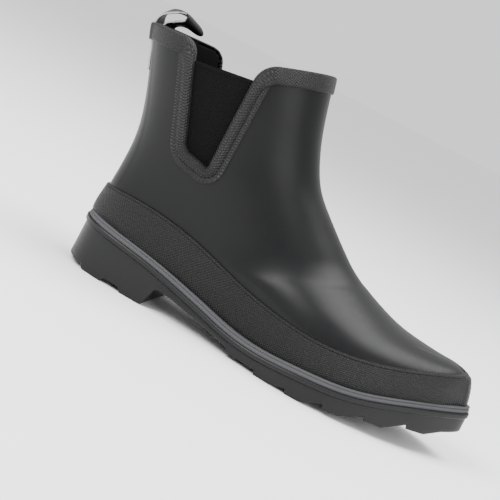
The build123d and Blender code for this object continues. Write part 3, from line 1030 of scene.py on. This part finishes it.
@dataclass
class Outsole:
    """The lugged outsole with its heel."""

    form: UpperForm
    outline: Outline
    shop: Workshop
    rim: float = 11.0
    recess: float = 2.4
    groove: float = 3.0
    step: float = 2.7
    heel: tuple = ((-30, 3), (7, 3), (8, 2.5), (17, 2.5), (19, 0), (35, 0), (37, 2.8), (48, 2.8), (50, 0),
                   (66, 0), (71, 13), (74, 14.2), (83, 13.2), (105, 9.6), (122, 6.2))
    steps: tuple = ((130, 2.2), (153, 0), (176, 0), (201, 3.0), (227, 7.6), (252, 13.2))
    toe: tuple = ((272, 18.4), (284, 22.0))
    fields: tuple = ((8, 60), (134, 262))
    fore_level: tuple = ((134, 1.8), (153, 0), (176, 0), (201, 3.0), (227, 7.6), (252, 13.2), (272, 18.4))
    breast: float = 66.0
    lip: float = 3.6
    heel_marks: tuple = (16.0, 28.0, 40.0)
    fore_marks: tuple = (150.0, 166.0, 182.0, 198.0, 214.0)

    def bottom(self, x: np.ndarray) -> np.ndarray:
        """Args:
            x: position along the sole.

        Returns:
            Height of the bottom there.
        """
        line = list(self.heel)
        for start, height in self.steps:
            line += [(start - 0.7, height + self.step), (start, height), (start + 11, height + 0.35)]
        line += list(self.toe)
        rows = np.array(line)
        return np.interp(x, rows[:, 0], rows[:, 1])

    def _chevrons(self, x: np.ndarray, y: np.ndarray) -> np.ndarray:
        """Args:
            x: positions along the sole.
            y: positions across it, from its middle.

        Returns:
            1 on a chevron, 0 elsewhere.
        """
        marks = np.zeros(x.shape)
        for place in self.heel_marks:
            band = np.abs(x - place - np.abs(y) * 0.5) - 3.2
            marks = np.maximum(marks, ease(-band, -0.3, 0.5) * ease(-np.abs(y), -15.5, -14.7))
        for place in self.fore_marks:
            band = np.abs(x - place + np.abs(y) * 0.5) - 4.2
            marks = np.maximum(marks, ease(-band, -0.3, 0.5) * ease(-np.abs(y), -24.5, -23.5))
        return marks

    def _underside(self, points: np.ndarray, gap: np.ndarray, middle: np.ndarray) -> np.ndarray:
        """Args:
            points: plan points.
            gap: distance of each from the outline.
            middle: y of the sole's middle at each.

        Returns:
            Height of the tread there.
        """
        x, y = points[:, 0], points[:, 1] - middle
        base = self.bottom(x)
        in_field = np.zeros(x.shape, bool)
        for back, front in self.fields:
            in_field |= (x > back) & (x < front)
        line = np.array(self.fore_level)
        level = np.where(x < self.breast, 0.0, np.interp(x, line[:, 0], line[:, 1]))
        field = level + self.recess
        marks = self._chevrons(x, y)
        inner = field - marks * (self.recess - 0.3)
        cut = ease(gap, self.rim, self.rim + 0.9)
        channel = ease(gap, self.rim, self.rim + 0.6) - ease(gap, self.rim + 2.0, self.rim + 2.8)
        height = base * (1 - cut) + inner * cut + channel * (self.groove - self.recess)
        ribs = 0.3 * np.cos(y * 2 * math.pi / 5.0) * ease(gap, 4.0, 6.0)
        dots = 0.18 * np.maximum(np.sin(x * 2.4) * np.sin(points[:, 1] * 2.4), 0) * ease(gap, 1.2, 2.2)
        height = np.where(in_field, height, base + np.where((x > 74) & (x < 128), ribs, 0.0))
        return height - dots * (gap < self.rim) * ((x < 64) | (x > 130)) * (height > 0.2)

    def build(self) -> None:
        """Makes the outsole as one closed mesh."""
        line = self.outline
        count = len(line.points)
        x = line.points[:, 0]
        top, low = self.form.sole_top(x), self.bottom(x)
        toe = 1 - 0.6 * ease(x, 225, 270)
        teeth = 0.22 * np.sin(np.arange(count) * 2 * math.pi / 5) * ease(x, 120, 130)
        rows = []

        def ring(inset: np.ndarray, height: np.ndarray) -> None:
            """Adds one ring of the wall."""
            rows.append(np.column_stack([line.inset(inset), height]))

        ring(np.full(count, 12.0), top - 0.4)
        ring(np.full(count, 1.0), top)
        ring(np.full(count, 0.35), top - 0.15)
        ring(np.zeros(count), top - 0.7)
        ring(0.15 - np.abs(teeth), top - self.lip + 1.2)
        ring(0.1 - np.abs(teeth) * 0.5, top - self.lip + 0.4)
        ring(0.8 * toe, top - self.lip)
        ring(1.5 * toe, top - self.lip - 0.4)
        for share in (0.2, 0.4, 0.6, 0.8):
            ring((1.5 - 0.5 * share) * toe, (top - self.lip - 0.4) * (1 - share) + (low + 0.9) * share)
        ring(0.9 * toe, low + 0.9)
        ring(1.15 * toe, low + 0.3)
        ring(1.7 * toe, low + 0.02)
        spine_x = np.clip(x, 26.0, 250.0)
        tops = self._middle(spine_x)
        spine = np.column_stack([spine_x, tops])
        start = line.inset(1.7 * toe)
        for share in np.linspace(0, 1, 64)[1:]:
            plan = start * (1 - share) + spine * share
            gap = self._gap(plan)
            rows.append(np.column_stack([plan, self._underside(plan, gap, self._middle(plan[:, 0]))]))
        grid = np.array(rows)
        grid[..., 2] = np.maximum(grid[..., 2], 0.0)
        sole = self.shop.grid("outsole_lugged", grid, SOLE, True, False, False, flat_angle=32)
        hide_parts("outsole")
        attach(sole, "boot")

    def _middle(self, x: np.ndarray) -> np.ndarray:
        """Args:
            x: positions along the sole.

        Returns:
            The y of the sole's middle line there.
        """
        points = self.outline.points
        lower = points[points[:, 1] < np.interp(points[:, 0], (0, 283), (0, 7))]
        upper = points[points[:, 1] >= np.interp(points[:, 0], (0, 283), (0, 7))]
        lower, upper = lower[np.argsort(lower[:, 0])], upper[np.argsort(upper[:, 0])]
        return (np.interp(x, lower[:, 0], lower[:, 1]) + np.interp(x, upper[:, 0], upper[:, 1])) / 2

    def _gap(self, plan: np.ndarray) -> np.ndarray:
        """Args:
            plan: plan points.

        Returns:
            Their distances from the outline.
        """
        far = plan[:, None] - self.outline.points[None, ::3]
        return np.sqrt((far ** 2).sum(axis=2).min(axis=1))


@dataclass
class PullStrap:
    """The tape loop above the rear collar."""

    shop: Workshop
    placing: Placing
    wide: float = 24.0
    thick: float = 1.4
    wrap: float = 62.0           # twice the radius that the legs wrap round
    bend: tuple = (163.8, 168.4) # z between which the tape bends
    COUNT = 150
    # x, z, lean of the width direction in x and z, and how closely it wraps the shaft's back
    path: tuple = ((-6.0, 134.0, 0, 0, 1), (-8.9, 142, 0, 0, 1), (-12.4, 152, 0, 0, 1), (-15.0, 159, 0, 0, 1),
                   (-16.3, 164, -0.06, 0, 0.8), (-15.6, 168.5, -0.16, 0.05, 0.4),
                   (-12.6, 172.6, -0.2, 0.13, 0.1), (-8.0, 175.2, -0.15, 0.14, 0), (-2.5, 176.2, 0, 0.05, 0),
                   (3.0, 175.6, 0.22, -0.13, 0), (7.0, 174.0, 0.36, -0.24, 0), (8.2, 172.0, 0.38, -0.26, 0),
                   (6.2, 170.4, 0.3, -0.2, 0), (1.0, 169.7, 0.12, -0.06, 0), (-4.5, 168.2, 0, 0, 0.2),
                   (-8.8, 165.0, 0, 0, 0.6), (-9.6, 160.5, 0, 0, 1), (-7.8, 154.5, 0, 0, 1),
                   (-6.4, 149.5, 0, 0, 1))

    def build(self) -> None:
        """Makes the whole tape as one piece that loops over above the collar."""
        table = np.array(self.path, float)
        run = np.concatenate([[0], np.cumsum(np.linalg.norm(np.diff(table[:, :2], axis=0), axis=1))])
        dense = Curve(run, table)(np.linspace(0, run[-1], self.COUNT))
        slope = np.gradient(dense[:, :2], axis=0)
        still = np.zeros(self.COUNT)
        along = unit(np.stack([slope[:, 0], still, slope[:, 1]], axis=1))
        across = unit(np.stack([dense[:, 2], still + 1, dense[:, 3]], axis=1))
        face = unit(np.cross(along, across))
        half, t = self.wide / 2, self.thick / 2
        outline = [(-half, -t * 0.5), (-half, t * 0.5), (-half + 0.5, t)]
        outline += [(y, t) for y in np.linspace(-half + 2, half - 2, 9)]
        outline += [(half - 0.5, t), (half, t * 0.5), (half, -t * 0.5), (half - 0.5, -t)]
        outline += [(y, -t) for y in np.linspace(half - 2, -half + 2, 9)]
        outline += [(-half + 0.5, -t)]
        rows = []
        for wide, high in outline:
            forward = dense[:, 4] * wide * wide / self.wrap
            centre = np.stack([dense[:, 0] + forward, still, dense[:, 1]], axis=1)
            rows.append(centre + across * wide + face * high)
        strap = self.shop.grid("pull_strap_tape", np.array(rows), TAPE, False, True, True, flat_angle=40)
        # painted highlight: the tape's side-edge faces get the pale colour in place of the light that catches
        # them
        strap.data.materials.append(TAPE_EDGE_HIGHLIGHT.material())
        middle = self.placing.points(np.zeros(3))[1]
        for polygon in strap.data.polygons:
            if abs(abs(polygon.center.y - middle) * 1000 - half) < 0.9 and abs(polygon.normal.y) > 0.55:
                polygon.material_index = 1
        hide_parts("pull_tab_outer_leg", "pull_tab_inner_leg", "pull_tab_loop")
        ends = np.array([[HINGE_X, 0, height] for height in self.bend])
        start, end = self.placing.points(ends)
        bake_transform(strap)


class InnerPieces:
    """Hidden CAD pieces that keep their own shapes."""

    FINISHES = {"heel_counter": CANVAS, "toe_puff": CANVAS, "back_seam_tape": CANVAS, "heel_core": SPONGE,
                "bottom_filler": SPONGE, "shank": STEEL, "insole_board": FIBRE, "footbed_foam": FOAM}

    def dress(self, nodes: dict) -> None:
        """Args:
            nodes: the frame's CAD objects by name.
        """
        for name, finish in self.FINISHES.items():
            nodes[name].data.materials.clear()
            nodes[name].data.materials.append(finish.material())


@dataclass
class Studio:
    """Floor, soft lights and the camera."""

    placing: Placing
    camera_place: tuple = (236.85, -810.56, 187.68)
    look: tuple = (-0.1546, 0.976, -0.1533)
    roll: float = 27.44
    lens: float = 91.3

    def build(self) -> None:
        """Makes the floor, the lights, the world and the camera."""
        bpy.ops.mesh.primitive_plane_add(size=30, location=(0, 0, 0))
        floor = bpy.context.object
        floor.name = "studio_floor"
        pale = bpy.data.materials.new("pale_floor")
        pale.use_nodes = True
        shader = pale.node_tree.nodes["Principled BSDF"]
        shader.inputs["Base Color"].default_value = (0.93, 0.93, 0.93, 1)
        shader.inputs["Roughness"].default_value = 0.8
        floor.data.materials.append(pale)
        world = bpy.data.worlds.new("studio_world")
        bpy.context.scene.world = world
        world.use_nodes = True
        world.node_tree.nodes["Background"].inputs["Color"].default_value = (1, 1, 1, 1)
        world.node_tree.nodes["Background"].inputs["Strength"].default_value = 1.15
        self._light("key", (-0.75, -0.75, 1.05), (-0.02, 0.0, 0.1), 0.8, 30)
        self._light("top", (0.35, 0.1, 1.3), (0.06, 0.0, 0.08), 0.9, 26)
        self._light("front", (1.1, -0.9, 0.5), (0.08, 0.0, 0.04), 0.8, 8)
        self._camera()

    def _light(self, name: str, place: tuple, target: tuple, size: float, power: float) -> None:
        """Args:
            name: the light's name.
            place: where it stands.
            target: where it points.
            size: side of its square.
            power: watts.
        """
        data = bpy.data.lights.new(name, "AREA")
        data.size = size
        data.energy = power
        light = bpy.data.objects.new(name, data)
        light.location = place
        way = Vector(target) - Vector(place)
        light.rotation_mode = "QUATERNION"
        light.rotation_quaternion = way.to_track_quat("-Z", "Y")
        bpy.context.scene.collection.objects.link(light)

    def _camera(self) -> None:
        """Stands the camera at the viewing angle, rolled so the boot tips toe-down."""
        forward = Vector(self.look).normalized()
        right = forward.cross(Vector((0, 0, 1))).normalized()
        up = right.cross(forward)
        turn = math.radians(self.roll)
        side = right * math.cos(turn) + up * math.sin(turn)
        top = up * math.cos(turn) - right * math.sin(turn)
        data = bpy.data.cameras.new("camera")
        data.lens = self.lens
        data.sensor_width = 36.0
        data.clip_start, data.clip_end = 0.01, 50.0
        camera = bpy.data.objects.new("camera", data)
        place = Vector(self.placing.points(np.array(self.camera_place)))
        pose = Matrix((side, top, -forward)).transposed().to_4x4()
        pose.translation = place
        camera.matrix_world = pose
        bpy.context.scene.collection.objects.link(camera)
        bpy.context.scene.camera = camera


def main() -> None:
    """Builds the boot over the frame, piece by piece, then the studio."""
    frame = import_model()
    sizes = BootSizes()
    placing = Placing()
    shop = Workshop(placing)
    form = UpperForm(sizes)
    opening = Opening(form)
    outline = Outline(sizes)
    LOG.info("form ready")
    UpperShell(form, opening, shop).build()
    Lining(form, opening, shop).build()
    GorePanel(form, shop, -1, "lateral").build()
    GorePanel(form, shop, 1, "medial").build()
    TrimBands(form, opening, shop).build()
    LOG.info("upper ready")
    Rand(form, outline, shop).build()
    Outsole(form, outline, shop).build()
    PullStrap(shop, placing).build()
    InnerPieces().dress(frame["nodes"])
    Studio(placing).build()


if __name__ == "__main__":
    logging.basicConfig(level=logging.INFO)
    main()
